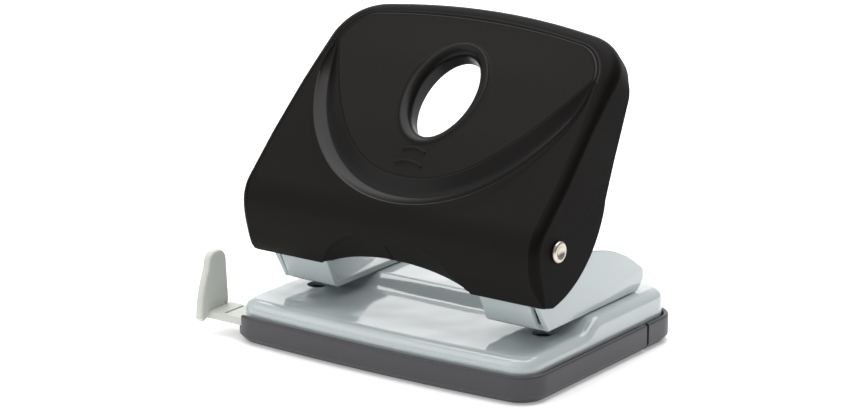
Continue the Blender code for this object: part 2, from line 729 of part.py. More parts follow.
def build_pivot_rivet(side, sign):
    """Domed head with a dimple outside the lever, shank through to a spun tail in the bracket."""
    head_base = LEVER_HALF_WIDTH + GAP
    tail_face = BRACKET_OUTER_X - BRACKET_SHEET - GAP
    head, tail = 3.4 * MM, 3.6 * MM
    profile = [
        (0, head_base + 0.7 * MM), (0.9 * MM, head_base + 1.0 * MM), (1.6 * MM, head_base + 1.3 * MM),
        (2.6 * MM, head_base + 1.1 * MM), (head, head_base + 0.4 * MM), (head, head_base),
        (RIVET_RADIUS, head_base), (RIVET_RADIUS, tail_face), (tail, tail_face),
        (tail, tail_face - 0.6 * MM), (0, tail_face - 1.0 * MM),
    ]
    rivet = turned(profile)
    rivet.rotation_euler = (0, sign * math.pi / 2, 0)
    rivet.location = (0, PIVOT_Y, PIVOT_Z)
    finish_part(rivet, f"pivot_rivet_{side}", "nickel")


def build_pivot_washer(side, sign):
    inner, outer = BRACKET_OUTER_X + GAP, FLANGE_INNER_X - GAP
    bore, rim = RIVET_RADIUS + GAP, 5 * MM
    washer = turned([(rim, outer), (rim, inner), (bore, inner), (bore, outer), (rim, outer)])
    washer.rotation_euler = (0, sign * math.pi / 2, 0)
    washer.location = (0, PIVOT_Y, PIVOT_Z)
    finish_part(washer, f"pivot_washer_{side}", "nickel")


# --- paper guide -------------------------------------------------------------------------

def build_paper_guide():
    thickness = GUIDE_TOP - GUIDE_BOTTOM
    arm = rounded([
        (GUIDE_FENCE_X - MM, GUIDE_FRONT_Y, 0), (GUIDE_INNER_END, GUIDE_FRONT_Y, 2 * MM),
        (GUIDE_INNER_END, GUIDE_REAR_Y, 2 * MM), (GUIDE_FENCE_X - MM, GUIDE_REAR_Y, 0),
    ])
    guide = outline_solid(arm, thickness, FLAT, (0, 0, GUIDE_BOTTOM + thickness / 2))
    front, rear = GUIDE_FRONT_Y - 2.8 * MM, GUIDE_REAR_Y - 1.0 * MM
    low, crest = GUIDE_BOTTOM - 0.6 * MM, 24.2 * MM
    fence = rounded([
        (front, low, 1 * MM), (rear, low, 1 * MM), (rear - 1.4 * MM, crest, 3.9 * MM),
        (front + 3.4 * MM, crest, 4.2 * MM),
    ], 6)
    fence_thickness = 2.7 * MM
    middle = GUIDE_FENCE_X - fence_thickness / 2
    upright = as_cutter(outline_solid(fence, fence_thickness, SIDE, (middle, 0, 0)))
    add_bevel(upright, 0.5 * MM, segments=2, angle=50)
    add_boolean(guide, upright, "UNION")
    finish_part(guide, "paper_guide", "light_plastic")


def build_guide_channel():
    """A channel open to the front that holds the guide's arm up under the base plate."""
    wall = 1.5 * MM
    lip_front = GUIDE_FRONT_Y + 2.2 * MM
    back = GUIDE_REAR_Y + GAP
    top = TABLE_TOP - SHEET - GAP
    section = [
        (lip_front, GUIDE_TOP + GAP), (back, GUIDE_TOP + GAP), (back, GUIDE_BOTTOM - GAP),
        (lip_front, GUIDE_BOTTOM - GAP), (lip_front, GUIDE_BOTTOM - GAP - wall),
        (back + wall, GUIDE_BOTTOM - GAP - wall), (back + wall, top), (lip_front, top),
    ]
    channel = outline_solid(section, 36 * MM, SIDE, (-28.5 * MM, 0, 0))
    finish_part(channel, "guide_channel", "dark_plastic")


# --- the punch ---------------------------------------------------------------------------

def build_punch():
    build_cover()
    build_base_plate()
    build_die_plates()
    build_bracket_rivets()
    for side, sign in (("left", -1), ("right", 1)):
        build_bracket(side, sign)
        build_pin(side, sign * PIN_X)
        build_spring_clip(side, sign * PIN_X)
        build_spring(side, sign * PIN_X)
        build_pivot_rivet(side, sign)
        build_pivot_washer(side, sign)
    build_lever_cover()
    build_press_frame()
    build_paper_guide()
    build_guide_channel()


clear_scene()
parts = make_collection("hole_punch")
cutters = make_collection("cutters")
build_punch()
bpy.context.view_layer.update()
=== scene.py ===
import math

import bmesh
import bpy
import numpy as np
from mathutils import Matrix


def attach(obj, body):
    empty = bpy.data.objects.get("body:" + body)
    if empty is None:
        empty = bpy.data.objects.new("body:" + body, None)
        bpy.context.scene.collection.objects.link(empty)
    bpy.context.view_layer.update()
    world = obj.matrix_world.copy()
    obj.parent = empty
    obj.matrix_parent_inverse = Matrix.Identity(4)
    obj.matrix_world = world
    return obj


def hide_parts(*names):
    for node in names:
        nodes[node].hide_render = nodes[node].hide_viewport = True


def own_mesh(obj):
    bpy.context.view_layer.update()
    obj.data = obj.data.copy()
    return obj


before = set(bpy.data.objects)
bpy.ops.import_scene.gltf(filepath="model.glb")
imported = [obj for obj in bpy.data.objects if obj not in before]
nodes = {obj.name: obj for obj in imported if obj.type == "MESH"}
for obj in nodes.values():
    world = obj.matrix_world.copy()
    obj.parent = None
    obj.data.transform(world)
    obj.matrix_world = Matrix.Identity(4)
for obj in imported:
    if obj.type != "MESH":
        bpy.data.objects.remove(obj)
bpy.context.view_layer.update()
mm = 0.001  # all shapes below are worked out in millimetres
print("frame loaded:", len(nodes), "nodes")


# Shader maths: a socket that can be added, subtracted and multiplied like a number

class Value:
    def __init__(self, shader, socket):
        self.shader, self.socket = shader, socket

    def maths(self, operation, other):
        return self.shader.node("ShaderNodeMath", {"operation": operation}, {0: self, 1: other})

    def __add__(self, other): return self.maths("ADD", other)
    def __sub__(self, other): return self.maths("SUBTRACT", other)
    def __mul__(self, other): return self.maths("MULTIPLY", other)
    def __radd__(self, other): return self + other
    def __rmul__(self, other): return self * other
    def __rsub__(self, other): return self * -1 + other

    # smooth step from start to end while the value goes low to high
    def ramp(self, low, high, start=0.0, end=1.0):
        settings = {"interpolation_type": "SMOOTHSTEP"}
        inputs = {"Value": self, "From Min": low, "From Max": high, "To Min": start, "To Max": end}
        return self.shader.node("ShaderNodeMapRange", settings, inputs)


class Shader:
    def __init__(self, name):
        self.material = bpy.data.materials.new(name)
        self.material.use_nodes = True
        self.tree = self.material.node_tree
        self.surface = self.tree.nodes["Principled BSDF"]
        place = self.tree.nodes.new("ShaderNodeTexCoord")
        self.place = Value(self, place.outputs["Object"])

    def node(self, kind, settings=None, inputs=None, output=0):  # settings first, then socket values or links
        made = self.tree.nodes.new(kind)
        for key, value in (settings or {}).items():
            setattr(made, key, value)
        for key, value in (inputs or {}).items():
            self.feed(made.inputs[key], value)
        return Value(self, made.outputs[output])

    def feed(self, socket, value):
        if isinstance(value, Value):
            self.tree.links.new(value.socket, socket)
        else:
            socket.default_value = value

    def set(self, **inputs):  # names of the surface's sockets with underscores for spaces
        for key, value in inputs.items():
            self.feed(self.surface.inputs[key.replace("_", " ")], value)

    def noise(self, size, detail=3.0, roughness=0.5, stretch=None):  # size of one blotch in mm
        place = self.place
        if stretch:
            place = self.node("ShaderNodeMapping", None, {"Vector": place, "Scale": stretch})
        inputs = {"Vector": place, "Scale": 1 / (size * mm), "Detail": detail, "Roughness": roughness}
        return self.node("ShaderNodeTexNoise", None, inputs)

    def mix(self, factor, first, second):  # of two colours
        first, second = ((*colour, 1) if isinstance(colour, tuple) else colour for colour in (first, second))
        return self.node("ShaderNodeMix", {"data_type": "RGBA"}, {0: factor, 6: first, 7: second}, 2)

    def bump(self, height, depth, under=None):  # depth in mm of a height that goes 0 to 1
        inputs = {"Height": height, "Distance": depth * mm, "Strength": 1.0}
        if under:
            inputs["Normal"] = under
        return self.node("ShaderNodeBump", None, inputs)

    def attribute(self, name):
        return self.node("ShaderNodeAttribute", {"attribute_name": name}, None, 2)


# hood is the darker colour painted as shade on the lever's walls, rims, groove and inside; hoodPanel is the
# lighter tone of the grained face
plasticLook = {
    "hood": (0.0056, 0.0047, 0.0043), "hoodPanel": (0.0165, 0.0158, 0.0150), "hoodDust": (0.05, 0.05, 0.05),
    "hoodRoughness": 0.50, "hoodCoat": 0.3, "cover": (0.040, 0.038, 0.045), "guide": (0.56, 0.575, 0.53),
}
paintLook = {
    "dark": (0.495, 0.555, 0.565), "light": (0.535, 0.590, 0.595), "speck": (0.40, 0.45, 0.47),
    "roughness": 0.05, "coat": 0.5, "coatRoughness": 0.04,
}


def grainedBlack():
    shader = Shader("grained black plastic")
    # 1 on the glossy groove and rims, 0.25 on smooth walls, 0 on grained faces; it sets gloss and coat, and
    # it paints shade: the darker colour from 0.25 up
    polish = shader.attribute("polish")
    grain = shader.noise(0.32, 2.0, 0.6)
    cloud = shader.noise(14.0, 2.0)
    dust = shader.noise(1.1, 4.0, 0.7).ramp(0.6, 0.8)
    # painted shade: walls, rims, groove and inside take the darker hood colour, the grained face keeps the
    # lighter panel colour
    colour = shader.mix(polish.ramp(0.0, 0.25), plasticLook["hoodPanel"], plasticLook["hood"])
    colour = shader.mix(dust * 0.10, colour, plasticLook["hoodDust"])
    fine = shader.bump(grain, 0.05)
    roughness = plasticLook["hoodRoughness"] - polish * 0.17 + (cloud - 0.5) * 0.08 + (grain - 0.5) * 0.1
    shader.set(Base_Color=colour, Roughness=roughness, IOR=1.1, Specular_IOR_Level=0.5,
               Coat_Weight=polish.ramp(0.3, 1.0, 0.0, plasticLook["hoodCoat"]), Coat_Roughness=0.28)
    shader.set(Normal=shader.bump((1 - polish) * shader.noise(0.6, 2.0), 0.05, fine))
    return shader.material


def glossPaint():
    shader = Shader("blue-grey gloss paint")
    peel = shader.noise(1.6, 2.0)
    swell = shader.noise(17.0, 1.0)
    speck = shader.noise(0.5, 3.0).ramp(0.68, 0.78)
    tint = shader.mix(swell, paintLook["dark"], paintLook["light"])
    shader.set(Base_Color=shader.mix(speck * 0.12, tint, paintLook["speck"]),
               Roughness=paintLook["roughness"] + swell * 0.05 + speck * 0.1, Specular_IOR_Level=0.55,
               Coat_Weight=paintLook["coat"], Coat_Roughness=paintLook["coatRoughness"])
    shader.set(Normal=shader.bump(peel, 0.012, shader.bump(swell, 0.5)))
    return shader.material


def satinPlastic(name, colour, roughness, grainSize):
    shader = Shader(name)
    grain = shader.noise(grainSize, 3.0, 0.6)
    cloud = shader.noise(11.0, 2.0)
    rub = shader.noise(2.2, 4.0, 0.7, (1.0, 1.0, 3.0)).ramp(0.55, 0.85)
    lighter = tuple(min(1.0, c * 1.25 + 0.01) for c in colour)
    shader.set(Base_Color=shader.mix(cloud * 0.5 + rub * 0.2, colour, lighter),
               Roughness=roughness + (cloud - 0.5) * 0.1 - rub * 0.06)
    shader.set(Normal=shader.bump(grain, 0.03))
    return shader.material


def brightMetal(name, colour, roughness, streak, stretch):
    shader = Shader(name)
    brushed = shader.noise(streak, 4.0, 0.65, stretch)
    stain = shader.noise(3.0, 3.0)
    darker = tuple(c * 0.72 for c in colour)
    worn = stain.ramp(0.35, 0.75) * 0.5 + brushed * 0.25
    shader.set(Base_Color=shader.mix(worn, colour, darker), Metallic=1.0,
               Roughness=roughness + (brushed - 0.5) * 0.16 + stain * 0.05)
    shader.set(Normal=shader.bump(brushed, 0.012))
    return shader.material


looks = {
    "black_plastic": grainedBlack(),
    "grey_paint": glossPaint(),
    "dark_plastic": satinPlastic("violet-grey satin plastic", plasticLook["cover"], 0.42, 0.5),
    "light_plastic": satinPlastic("warm grey plastic", plasticLook["guide"], 0.46, 0.4),
    "nickel": brightMetal("nickel plate", (0.62, 0.565, 0.49), 0.3, 0.7, (1.0, 1.0, 1.0)),
    "steel": brightMetal("turned steel", (0.52, 0.52, 0.53), 0.32, 0.5, (1.0, 1.0, 8.0)),
    "spring_steel": brightMetal("spring wire", (0.60, 0.50, 0.42), 0.28, 0.6, (1.0, 1.0, 1.0)),
}
print("materials made:", len(looks))


# Grids and solids

# quads of a grid of rows by columns, each row closed on itself
def gridArrays(points, wrapRows=False):
    rows, columns = points.shape[:2]
    i = np.arange(rows if wrapRows else rows - 1)[:, None] * columns
    j = np.arange(columns)[None, :]
    below, beside = (i + columns) % (rows * columns), (j + 1) % columns
    quads = np.stack([i + j, i + beside, below + beside, below + j], -1)
    return points.reshape(-1, 3), quads.reshape(-1, 4)


def newPiece(name, shape, slot, smooth=35, **values):  # shape is (points in mm, quads)
    points, quads = shape[0] * mm, shape[1]
    mesh = bpy.data.meshes.new(name)
    mesh.vertices.add(len(points))
    mesh.vertices.foreach_set("co", points.ravel())
    mesh.loops.add(quads.size)
    mesh.loops.foreach_set("vertex_index", quads.ravel())
    mesh.polygons.add(len(quads))
    mesh.polygons.foreach_set("loop_start", np.arange(len(quads)) * 4)
    mesh.update(calc_edges=True)
    for key, array in values.items():
        mesh.attributes.new(key, "FLOAT", "POINT").data.foreach_set("value", array.ravel())
    closeMesh(mesh)
    return namedPiece(name, mesh, slot, smooth)


def closeMesh(mesh):  # welds seams and poles and turns the faces out
    shape = bmesh.new()
    shape.from_mesh(mesh)
    bmesh.ops.remove_doubles(shape, verts=shape.verts, dist=0.0005 * mm)
    bmesh.ops.dissolve_degenerate(shape, edges=shape.edges, dist=0.0001 * mm)
    bmesh.ops.recalc_face_normals(shape, faces=shape.faces)
    shape.to_mesh(mesh)
    shape.free()


def namedPiece(name, mesh, slot, smooth):
    piece = bpy.data.objects.new(name, mesh)
    bpy.context.scene.collection.objects.link(piece)
    mesh.shade_smooth()
    mesh.set_sharp_from_angle(angle=math.radians(smooth))
    mesh.materials.clear()
    mesh.materials.append(looks[slot])
    return piece


def stands(piece, body, *nodeNames):  # rides on the body and stands for the CAD nodes
    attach(piece, body)
    if nodeNames:
        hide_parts(*nodeNames)
    return piece


def turnedGrid(profile, place, turns=64):  # (radius, height) points swung round the axis of a placing matrix
    angle = np.linspace(0, 2 * np.pi, turns, endpoint=False)
    profile = np.asarray(profile, float)
    radius, height = profile[:, :1], profile[:, 1:]
    local = np.stack([radius * np.cos(angle), radius * np.sin(angle), height + 0 * angle], -1)
    turn, origin = place
    return gridArrays(local @ np.asarray(turn, float).T + np.asarray(origin, float))


# a ring of points square to the path at each of its points, closed by a pole at each end
def tubeGrid(path, radius, around=12):
    ahead = np.gradient(path, axis=0)
    ahead /= np.linalg.norm(ahead, axis=1, keepdims=True)
    side = np.cross(ahead, [0, 0, 1.0])
    side /= np.linalg.norm(side, axis=1, keepdims=True)
    over = np.cross(side, ahead)
    angle = np.linspace(0, 2 * np.pi, around, endpoint=False)[None, :, None]
    rings = path[:, None] + radius * (np.cos(angle) * side[:, None] + np.sin(angle) * over[:, None])
    ends = [np.repeat(path[k][None, None], around, 1) for k in (0, -1)]
    return gridArrays(np.concatenate([ends[0], rings, ends[1]]))


def arcPoints(centre, radius, start, end, steps):  # degrees
    angle = np.radians(np.linspace(start, end, steps + 1))
    return np.stack([centre[0] + radius * np.cos(angle), centre[1] + radius * np.sin(angle)], -1)


def arcThrough(first, middle, last, steps):  # the circle through three points, from the first to the last
    a, b, c = (complex(*p) for p in (first, middle, last))
    w = (c - a) / (b - a)
    centre = (b - a) * (w - abs(w) ** 2) / (2j * w.imag) + a
    turns = [np.angle((p - centre) / (a - centre)) % (2 * np.pi) for p in (b, c)]
    sweep = turns[1] if turns[0] < turns[1] else turns[1] - 2 * np.pi
    points = centre + (a - centre) * np.exp(1j * np.linspace(0, sweep, steps + 1))
    return np.stack([points.real, points.imag], -1)


def roundedOutline(corners, steps=8):  # (x, y, radius) corners, each radius replaced by its arc
    corners = np.asarray(corners, float)
    here = corners[:, 0] + 1j * corners[:, 1]
    back, ahead = np.roll(here, 1) - here, np.roll(here, -1) - here
    back, ahead = back / abs(back), ahead / abs(ahead)
    half = np.abs(np.angle(ahead / back)) / 2
    radius = corners[:, 2]
    middle = (back + ahead) / np.maximum(abs(back + ahead), 1e-9)
    centre = here + middle * radius / np.sin(half)
    first = here + back * radius / np.tan(half) - centre
    last = here + ahead * radius / np.tan(half) - centre
    safe = np.where(abs(first) > 1e-9, first, 1)
    sweep = np.where(abs(first) > 1e-9, np.angle(np.where(abs(first) > 1e-9, last, 1) / safe), 0)
    share = np.linspace(0, 1, steps + 1)[None, :]
    points = (centre[:, None] + first[:, None] * np.exp(1j * sweep[:, None] * share)).ravel()
    keep = np.abs(points - np.roll(points, 1)) > 1e-4
    return np.stack([points.real, points.imag], -1)[keep]


sideOn = Matrix(((0, 0, 1, 0), (1, 0, 0, 0), (0, 1, 0, 0), (0, 0, 0, 1)))  # outline (x, y) stands in Y and Z
flatOn = Matrix.Identity(4)


# flat outlines, the first cut by the rest, with rounded edges
def plateMesh(outlines, thickness, edge, plane, centre):
    curve = bpy.data.curves.new("plate", "CURVE")
    curve.dimensions, curve.fill_mode = "2D", "BOTH"
    curve.extrude = (thickness / 2 - edge) * mm
    curve.bevel_depth, curve.bevel_resolution, curve.offset = edge * mm, 3, -edge * mm
    for outline in outlines:
        spline = curve.splines.new("POLY")
        spline.points.add(len(outline) - 1)
        flat = np.zeros((len(outline), 4))
        flat[:, :2], flat[:, 3] = np.asarray(outline) * mm, 1
        spline.points.foreach_set("co", flat.ravel())
        spline.use_cyclic_u = True
    drawn = bpy.data.objects.new("plate", curve)
    bpy.context.scene.collection.objects.link(drawn)
    graph = bpy.context.evaluated_depsgraph_get()
    mesh = bpy.data.meshes.new_from_object(drawn.evaluated_get(graph))
    mesh.transform(Matrix.Translation([c * mm for c in centre]) @ plane)
    bpy.data.objects.remove(drawn, do_unlink=True)
    closeMesh(mesh)
    return mesh


def boxMesh(low, high):  # between two opposite corners
    corners = np.array([[low[k] if (i >> k) & 1 == 0 else high[k] for k in range(3)] for i in range(8)])
    faces = [(0, 2, 3, 1), (4, 5, 7, 6), (0, 1, 5, 4), (2, 6, 7, 3), (0, 4, 6, 2), (1, 3, 7, 5)]
    mesh = bpy.data.meshes.new("box")
    mesh.from_pydata((corners * mm).tolist(), [], faces)
    return mesh


def rodMesh(radius, low, high, x, y):  # an upright rod to cut a hole with
    shape = bmesh.new()
    place = Matrix.Translation((x * mm, y * mm, (low + high) / 2 * mm))
    bmesh.ops.create_cone(shape, cap_ends=True, segments=64, radius1=radius * mm, radius2=radius * mm,
                          depth=(high - low) * mm, matrix=place)
    mesh = bpy.data.meshes.new("rod")
    shape.to_mesh(mesh)
    shape.free()
    return mesh


def combine(mesh, steps):  # Booleans with other meshes, one after another, made real
    work = bpy.data.objects.new("work", mesh)
    bpy.context.scene.collection.objects.link(work)
    helpers = []
    for operation, other in steps:
        helper = bpy.data.objects.new("helper", other)
        bpy.context.scene.collection.objects.link(helper)
        helpers.append(helper)
        modifier = work.modifiers.new("combine", "BOOLEAN")
        modifier.operation, modifier.object = operation, helper
    graph = bpy.context.evaluated_depsgraph_get()
    made = bpy.data.meshes.new_from_object(work.evaluated_get(graph))
    for used in helpers + [work]:
        bpy.data.objects.remove(used, do_unlink=True)
    return made


def smoothStep(x, low, high):  # eases from 0 to 1 while x goes low to high
    t = np.clip((x - low) / (high - low), 0, 1)
    return t * t * (3 - 2 * t)


# Lever hood: a ring-shaped grid. Columns fan out from the middle of the thumb hole, rows run from the open
# rim up the walls, over the face to the hole, through it and back along the inside.

hood = {
    "pivot": (-23.3, 41.3), "faceAngle": 43.5, "nose": 10.9, "noseEnd": 188.0,
    "tip": (-4.9, -15.9), "chin": (-9.0, -9.2), "wall": 2.1, "lip": 1.5,
    "halfWidth": 51.6, "taperFrom": 16.0, "shoulder": 49.3, "endCorner": 16.0,
    "end": 69.3, "endHalf": 33, "endBow": 2.6,
    "edgeRound": (0.9, 2.7, 5.2), "frontRound": 0.45, "edgeHalf": 23.5, "edgeRise": 5.1, "dip": (0.8, 1.1),
    "crown": 1.1, "crownHalf": 46, "crownRun": (4, 26, 44, 64),
    "hole": 36.9, "holeHalf": (9.6, 14.2), "rimHalf": (12.4, 17.3), "rimDrop": 2.7, "holeDepth": 5.4,
    "grooveDepth": 2.1, "valley": 0.38, "bead": 0.22, "rimSwell": 0.35,
    "lipArch": (47.2, 52, 52.6), "panelArch": (46, 8.2, 44.3), "topInset": (0.975, 0.8),
    "topRim": ((48.6, 53.7), (47.9, 56.2), (46.9, 58.1), (45.5, 59.8), (43.2, 61.3), (39.4, 63.0), (32, 64.9),
               (25, 65.9), (12, 66.6), (0, 66.8)),
    "heelFoot": ((-3.7, -15.85),), "heelArc": ((-2.5, -16.0), (14.4, -8.0), (24.7, 9.1)),
    "heelTop": ((30.1, 19.5), (34.6, 27.4), (39.1, 35.6), (40.58, 39.75)), "heelEnd": 56.8,
    "scoopTop": -11.2, "scoopHalf": 25.0, "scoopSlope": 0.24, "scoopStep": 0.45,
    "slotDepth": 0.5, "marks": ((17.0, 3.9), (12.7, 4.5)), "markHeight": 0.6,
    "rib": (22.0, 1.6, 3.8, 1.3), "ribRun": (18.0, 56.0),
}


def crownHeight(x, s):  # the face bulges across its width, and the bulge fades out at both ends
    rise, full, fade, end = hood["crownRun"]
    across = np.clip(1 - (x / hood["crownHalf"]) ** 2, 0, 1)
    return hood["crown"] * across * smoothStep(s, rise, full) * (1 - smoothStep(s, fade, end))


def buildHood():
    pivot = np.array(hood["pivot"])
    tilt = math.radians(hood["faceAngle"])
    alongFace = np.array([math.cos(tilt), math.sin(tilt)])
    outOfFace = np.array([-math.sin(tilt), math.cos(tilt)])

    # the middle section from the front tip round the nose and up the face; s is 0 at the face's foot
    noseArc = arcPoints((0, 0), hood["nose"], hood["noseEnd"], 90 + hood["faceAngle"], 60)
    front = arcThrough(hood["tip"], hood["chin"], noseArc[0], 60)
    face = outOfFace * hood["nose"] + alongFace * np.linspace(0, 75, 90)[:, None]
    line = np.concatenate([front, noseArc[1:], face[1:]])
    travel = np.concatenate([[0], np.cumsum(np.linalg.norm(np.diff(line, axis=0), axis=1))])
    travel -= travel[len(front) + len(noseArc) - 2]
    ahead = np.gradient(line, travel, axis=0)
    facing = np.unwrap(np.arctan2(ahead[:, 0], -ahead[:, 1]))
    tipS = travel[0]

    def sheet(x, s, depth):  # the point at depth under the outside, for a place (x, s) on the rolled-out hood
        turn = np.interp(s, travel, facing)
        y = np.interp(s, travel, line[:, 0]) - depth * np.cos(turn)
        z = np.interp(s, travel, line[:, 1]) - depth * np.sin(turn)
        return np.stack([x + 0 * y, pivot[0] + y, pivot[1] + z], -1)

    # closed curves on the rolled-out hood, as distance from the hole's middle for each column's angle;
    # the angles stand closest together along the front edge
    fan = np.concatenate([np.linspace(low, high, count, endpoint=False)
                          for low, high, count in ((-113, -67, 130), (-67, 247, 330))])
    fan = np.radians(np.sort(np.where(fan < -90, fan + 360, fan)))
    ray = np.stack([np.cos(fan), np.sin(fan)], -1)

    def reach(curve):  # distance to a closed curve along each column's ray
        rel = curve - [0, hood["hole"]]
        angle = np.arctan2(rel[:, 1], rel[:, 0])
        angle = np.where(angle < fan[0], angle + 2 * np.pi, angle)
        order = np.argsort(angle)
        angle, far = angle[order], np.linalg.norm(rel, axis=1)[order]
        around = np.r_[angle[-1] - 2 * np.pi, angle, angle[0] + 2 * np.pi]
        return np.interp(fan, around, np.r_[far[-1], far, far[0]])

    def onRay(distance):
        return ray * distance[:, None] + [0, hood["hole"]]

    half, end, bow, endHalf = hood["halfWidth"], hood["end"], hood["endBow"], hood["endHalf"]
    dipDepth, dipHalf = hood["dip"]
    x = np.linspace(0, half - 1.2, 400)
    arch = 1 - np.minimum(x / hood["edgeHalf"], 1) ** 1.7
    dip = dipDepth * np.exp(-(x / dipHalf) ** 2)
    lowEdge = np.stack([x, tipS + hood["edgeRise"] * arch - dip], -1)
    side = roundedOutline([
        (half - 1.2, tipS, 0), (half, tipS, 1.1), (half, hood["taperFrom"], 0),
        (hood["shoulder"], end - 5, hood["endCorner"]), (endHalf, end - bow, 0), (endHalf, tipS, 0),
    ], 40)[:-1]
    between = np.linspace(side[:-1], side[1:], 12, endpoint=False, axis=1).reshape(-1, 2)
    side = np.concatenate([between, side[-1:]])
    side = side[side[:, 0] > endHalf + 0.01]
    back = arcThrough((endHalf, end - bow), (0, end), (-endHalf, end - bow), 120)
    back = back[back[:, 0] >= 0]
    rightHalf = np.concatenate([lowEdge, side, back])
    silhouette = np.concatenate([rightHalf, rightHalf[::-1] * [-1, 1]])
    edge = onRay(reach(silhouette))

    outward = np.roll(edge, -1, 0) - np.roll(edge, 1, 0)
    outward = np.stack([outward[:, 1], -outward[:, 0]], -1)
    outward /= np.linalg.norm(outward, axis=1, keepdims=True)
    isFront = smoothStep(-outward[:, 1], 0.55, 0.9) * (edge[:, 1] < 0)
    tight, low, high = hood["edgeRound"]
    rounding = tight + (low - tight) * smoothStep(edge[:, 1], tipS + 1, tipS + 10)
    rounding = rounding + (high - low) * smoothStep(edge[:, 1], 30, 64)
    rounding = rounding * (1 - isFront) + hood["frontRound"] * isFront
    outward[isFront > 0.5] = [0, -1]

    # how far the outside lies under the plain section: scoops less crown, and slot less marks when fine is 1
    def relief(x, s, fine=1.0):
        top = hood["scoopTop"] - 13 * (np.abs(x) / hood["scoopHalf"]) ** 3
        under = np.where(np.abs(x) < hood["scoopHalf"] + 2, top - s, 0)
        scoop = hood["scoopSlope"] * np.maximum(under, 0) + hood["scoopStep"] * smoothStep(under, 0, 0.6)
        slot = hood["slotDepth"] * np.clip(1 - np.abs(x + 0.2) / 0.75, 0, 1) * smoothStep(-s, 13.5, 15.5)
        marks = 0 * x
        for place, halfMark in hood["marks"]:
            bend = place + (1 - (x / halfMark) ** 2) - 0.5
            marks = marks + hood["markHeight"] * np.exp(-((s - bend) / 0.36) ** 2) * (np.abs(x) < halfMark)
        return scoop - crownHeight(x, s) + fine * (slot - marks)

    # heel curve that the side walls run down to, met in step with the outline
    heel = np.concatenate([hood["heelFoot"], arcThrough(*hood["heelArc"], 60), hood["heelTop"]])
    heelTravel = np.concatenate([[0], np.cumsum(np.linalg.norm(np.diff(heel, axis=0), axis=1))])
    heelEnd = hood["heelEnd"]
    share = np.clip((edge[:, 1] - tipS) / (heelEnd - tipS), 0, 1) * heelTravel[-1]
    heelPoint = np.stack([edge[:, 0], pivot[0] + np.interp(share, heelTravel, heel[:, 0]),
                          pivot[1] + np.interp(share, heelTravel, heel[:, 1])], -1)
    lipDepth = hood["nose"] - (0.9 + (hood["lip"] - 0.9) * smoothStep(edge[:, 1], heelEnd, 66))
    endRim = sheet(edge[:, 0], edge[:, 1], lipDepth)
    isEnd = (edge[:, 1] > heelEnd)[:, None]
    rim = np.where(isEnd, endRim, heelPoint)
    sunk = isFront * relief(*edge.T, 0.0)
    frontRim = sheet(edge[:, 0], edge[:, 1], 0.55 + sunk)
    rim = rim * (1 - isFront[:, None]) + frontRim * isFront[:, None]

    # the groove round the panel: outer lip (half an ellipse), then the panel's own edge (a power curve)
    lipHalf, lipTop, lipRun = hood["lipArch"]
    u = np.linspace(-0.6, 51, 260)
    lipX = lipHalf * np.sqrt(np.clip(1 - ((lipTop - u) / lipRun) ** 2, 0, 1))
    topRim = np.array(hood["topRim"])
    outerHalf = np.concatenate([np.stack([lipX, u], -1), topRim])
    outer = reach(np.concatenate([outerHalf, outerHalf[::-1] * [-1, 1]]))
    panelWide, panelFoot, panelRun = hood["panelArch"]
    v = panelFoot + panelRun * np.linspace(0, 1, 260) ** 2.2
    panelX = panelWide * ((v - panelFoot) / panelRun) ** 0.435
    narrow, lower = hood["topInset"]
    panelHalf = np.concatenate([np.stack([panelX, v], -1), topRim * [narrow, 1] - [0, lower]])
    panel = reach(np.concatenate([panelHalf, panelHalf[::-1] * [-1, 1]]))
    panel = np.minimum(panel, outer - 0.35)
    inner = reach(edge - outward * rounding[:, None])
    start = onRay(inner)
    soften = 0.8
    outer = -soften * np.logaddexp(-outer / soften, -(inner - 0.7) / soften)
    panel = np.minimum(panel, outer - 0.3)

    def ellipse(halves):
        return 1 / np.sqrt((np.cos(fan) / halves[0]) ** 2 + (np.sin(fan) / halves[1]) ** 2)

    rimEdge, hole = ellipse(hood["rimHalf"]), ellipse(hood["holeHalf"])

    # each row's gloss value also paints shade: from 0.25 up the row takes the darker colour
    rows, plain, polish = [], [], []

    # smooth is the row without the slot and marks, for the inside to follow
    def addRow(points, shineAndShade, smooth=None):
        rows.append(points)
        plain.append(points if smooth is None else smooth)
        polish.append(np.broadcast_to(shineAndShade, len(fan)).astype(float))

    def addSheetRow(place, shineAndShade, depth=0.0, keep=1.0):
        x, s = place.T
        addRow(sheet(x, s, depth + keep * relief(x, s)), shineAndShade, sheet(x, s, depth + keep * relief(x, s, 0.0)))

